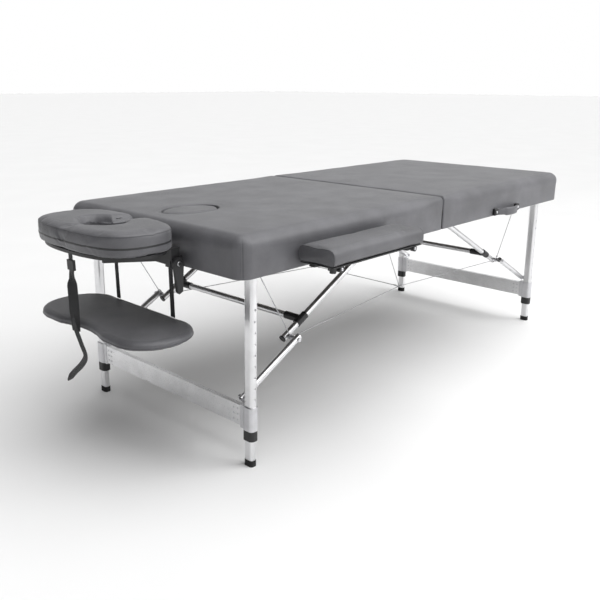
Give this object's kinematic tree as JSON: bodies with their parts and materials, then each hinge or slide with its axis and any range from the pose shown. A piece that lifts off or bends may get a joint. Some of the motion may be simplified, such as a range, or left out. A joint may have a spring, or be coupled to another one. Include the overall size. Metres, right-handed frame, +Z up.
{
  "type": "portable massage table",
  "caption": "Folding upholstered treatment table on telescoping metal leg frames with brace stays, padded armrests, tilting face cradle and hanging arm shelf.",
  "frame": {"origin": "on the floor, under the middle of the whole table's bounding box", "axes": "+X from the head end to the foot end, +Y across the table from the near side to the far side, +Z up"},
  "size_m": [2.105, 1.09, 0.676],
  "materials": {
    "leatherette": "satin embossed",
    "board": "plain plywood",
    "rail": "stained",
    "aluminium": "brushed anodised",
    "cast_aluminium": "satin cast",
    "steel": "zinc plated",
    "black_plastic": "moulded",
    "rubber": "matt",
    "webbing": "woven"
  },
  "bodies": {
    "head_section": {"head_deck": "board", "head_rails": "rail", "head_cushion": "leatherette", "head_hinge_leaves": "steel", "head_brackets": "steel", "head_pivot_pins": "steel", "head_sockets": "black_plastic", "head_cables": "steel"},
    "seam_pins": {"hinge_pins": "steel"},
    "foot_section": {"foot_deck": "board", "foot_rails": "rail", "foot_cushion": "leatherette", "foot_hinge_leaves": "steel", "foot_brackets": "steel", "foot_pivot_pins": "steel", "foot_handle": "leatherette", "foot_cables": "steel"},
    "face_plug": {"face_plug": "leatherette"},
    "head_legs": {"head_outer_tubes": "aluminium", "head_sleeves": "cast_aluminium", "head_collars": "black_plastic", "head_beam": "aluminium"},
    "head_upper_frame": {"head_upper_braces": "aluminium", "head_crossbar": "aluminium", "head_tees": "black_plastic"},
    "head_lower_frame": {"head_lower_braces": "aluminium", "head_brace_bolts": "steel"},
    "head_near_inner_leg": {"head_near_inner_tube": "aluminium", "head_near_foot": "rubber"},
    "head_near_button": {"head_near_button": "steel"},
    "head_far_inner_leg": {"head_far_inner_tube": "aluminium", "head_far_foot": "rubber"},
    "head_far_button": {"head_far_button": "steel"},
    "foot_legs": {"foot_outer_tubes": "aluminium", "foot_sleeves": "cast_aluminium", "foot_collars": "black_plastic", "foot_beam": "aluminium"},
    "foot_upper_frame": {"foot_upper_braces": "aluminium", "foot_crossbar": "aluminium", "foot_tees": "black_plastic"},
    "foot_lower_frame": {"foot_lower_braces": "aluminium", "foot_brace_bolts": "steel"},
    "foot_near_inner_leg": {"foot_near_inner_tube": "aluminium", "foot_near_foot": "rubber"},
    "foot_near_button": {"foot_near_button": "steel"},
    "foot_far_inner_leg": {"foot_far_inner_tube": "aluminium", "foot_far_foot": "rubber"},
    "foot_far_button": {"foot_far_button": "steel"},
    "near_armrest": {"near_armrest_pad": "leatherette", "near_armrest_frame": "black_plastic"},
    "far_armrest": {"far_armrest_pad": "leatherette", "far_armrest_frame": "black_plastic"},
    "cradle_base": {"cradle_base": "black_plastic"},
    "cradle_head": {"cradle_platform": "black_plastic", "cradle_cushion": "leatherette", "shelf_straps": "webbing", "shelf_buckles": "black_plastic"},
    "cradle_lever": {"cradle_lever": "black_plastic"},
    "arm_shelf": {"arm_shelf": "leatherette"}
  },
  "joints": [
    {"name": "seam_fold", "type": "hinge", "parent": "head_section", "child": "seam_pins", "pos_m": [0.1275, 0, 0.5545], "axis": [0, 1, 0], "range_deg": [0, 80], "deforming": ["head_cables", "foot_cables"]},
    {"name": "seam_close", "type": "hinge", "parent": "seam_pins", "child": "foot_section", "pos_m": [0.1275, 0, 0.5545], "axis": [0, 1, 0], "range_deg": [0, 100]},
    {"name": "head_leg_fold", "type": "hinge", "parent": "head_section", "child": "head_legs", "pos_m": [-0.7275, 0, 0.574], "axis": [0, -1, 0], "range_deg": [0, 91.5]},
    {"name": "head_upper_brace_fold", "type": "hinge", "parent": "head_section", "child": "head_upper_frame", "pos_m": [0.0075, 0, 0.595], "axis": [0, 1, 0], "range_deg": [0, 28.17]},
    {"name": "head_lower_brace_fold", "type": "hinge", "parent": "head_legs", "child": "head_lower_frame", "pos_m": [-0.7374, 0, 0.19613], "axis": [0, -1, 0], "range_deg": [0, 55.4]},
    {"name": "head_near_leg_height", "type": "slide", "parent": "head_legs", "child": "head_near_inner_leg", "axis": [-0.0262, 0, -0.9997], "range_m": [0, 0.192]},
    {"name": "head_near_button_press", "type": "slide", "parent": "head_near_inner_leg", "child": "head_near_button", "axis": [0, 1, 0], "range_m": [0, 0.0045], "stiffness_N_per_m": 400, "springref_m": -0.002},
    {"name": "head_far_leg_height", "type": "slide", "parent": "head_legs", "child": "head_far_inner_leg", "axis": [-0.0262, 0, -0.9997], "range_m": [0, 0.192]},
    {"name": "head_far_button_press", "type": "slide", "parent": "head_far_inner_leg", "child": "head_far_button", "axis": [0, -1, 0], "range_m": [0, 0.0045], "stiffness_N_per_m": 400, "springref_m": -0.002},
    {"name": "foot_leg_fold", "type": "hinge", "parent": "foot_section", "child": "foot_legs", "pos_m": [0.9825, 0, 0.574], "axis": [0, 1, 0], "range_deg": [0, 91.5]},
    {"name": "foot_upper_brace_fold", "type": "hinge", "parent": "foot_section", "child": "foot_upper_frame", "pos_m": [0.2475, 0, 0.595], "axis": [0, -1, 0], "range_deg": [0, 28.17]},
    {"name": "foot_lower_brace_fold", "type": "hinge", "parent": "foot_legs", "child": "foot_lower_frame", "pos_m": [0.9924, 0, 0.19613], "axis": [0, 1, 0], "range_deg": [0, 55.4]},
    {"name": "foot_near_leg_height", "type": "slide", "parent": "foot_legs", "child": "foot_near_inner_leg", "axis": [0.0262, 0, -0.9997], "range_m": [0, 0.192]},
    {"name": "foot_near_button_press", "type": "slide", "parent": "foot_near_inner_leg", "child": "foot_near_button", "axis": [0, 1, 0], "range_m": [0, 0.0045], "stiffness_N_per_m": 400, "springref_m": -0.002},
    {"name": "foot_far_leg_height", "type": "slide", "parent": "foot_legs", "child": "foot_far_inner_leg", "axis": [0.0262, 0, -0.9997], "range_m": [0, 0.192]},
    {"name": "foot_far_button_press", "type": "slide", "parent": "foot_far_inner_leg", "child": "foot_far_button", "axis": [0, -1, 0], "range_m": [0, 0.0045], "stiffness_N_per_m": 400, "springref_m": -0.002},
    {"name": "face_plug_lift", "type": "slide", "parent": "head_section", "child": "face_plug", "axis": [0, 0, 1], "range_m": [0, 0.06]},
    {"name": "near_armrest_pull", "type": "slide", "parent": "head_section", "child": "near_armrest", "axis": [0, -1, 0], "range_m": [0, 0.03]},
    {"name": "far_armrest_pull", "type": "slide", "parent": "head_section", "child": "far_armrest", "axis": [0, 1, 0], "range_m": [0, 0.03]},
    {"name": "cradle_pull", "type": "slide", "parent": "head_section", "child": "cradle_base", "axis": [-1, 0, 0], "range_m": [0, 0.06]},
    {"name": "cradle_tilt", "type": "hinge", "parent": "cradle_base", "child": "cradle_head", "pos_m": [-0.8275, 0, 0.57], "axis": [0, 1, 0], "range_deg": [-25, 0]},
    {"name": "cradle_cam", "type": "hinge", "parent": "cradle_base", "child": "cradle_lever", "pos_m": [-0.8275, 0, 0.57], "axis": [0, 1, 0], "range_deg": [0, 85]},
    {"name": "shelf_height", "type": "slide", "parent": "cradle_head", "child": "arm_shelf", "axis": [0, 0, 1], "range_m": [0, 0.08], "deforming": ["shelf_straps"]}
  ],
  "couplings": [
    {"joint": "head_leg_fold", "follows": "seam_fold", "ratio": 1.1437},
    {"joint": "head_upper_brace_fold", "follows": "seam_fold", "ratio": 0.3521},
    {"joint": "head_lower_brace_fold", "follows": "seam_fold", "ratio": 0.69255},
    {"joint": "foot_leg_fold", "follows": "seam_fold", "ratio": 1.1437},
    {"joint": "foot_upper_brace_fold", "follows": "seam_fold", "ratio": 0.3521},
    {"joint": "foot_lower_brace_fold", "follows": "seam_fold", "ratio": 0.69255}
  ]
}
